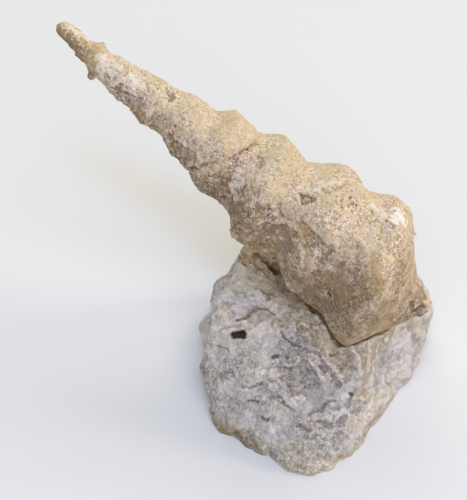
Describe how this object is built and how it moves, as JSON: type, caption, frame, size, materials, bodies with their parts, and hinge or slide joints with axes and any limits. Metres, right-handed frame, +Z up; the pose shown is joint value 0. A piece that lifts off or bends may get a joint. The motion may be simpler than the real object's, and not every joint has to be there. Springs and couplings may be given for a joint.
{
  "type": "fossil snail",
  "caption": "Turreted, keeled fossil snail shell lying obliquely in a small loose lump of limestone matrix, spire free in the air.",
  "frame": {"origin": "centre of the whole outline, on the surface the stone rests on", "axes": "+X is the longest side, from the spire's tip towards the shell's base; +Y goes from the stone's low front to the spire; +Z up"},
  "size_m": [0.048, 0.0388, 0.0414],
  "materials": {
    "weathered_shell": "matt, pitted, weathered calcite",
    "limestone": "matt, rough broken limestone"
  },
  "bodies": {
    "root": {"shell": "weathered_shell", "matrix": "limestone"}
  },
  "joints": []
}
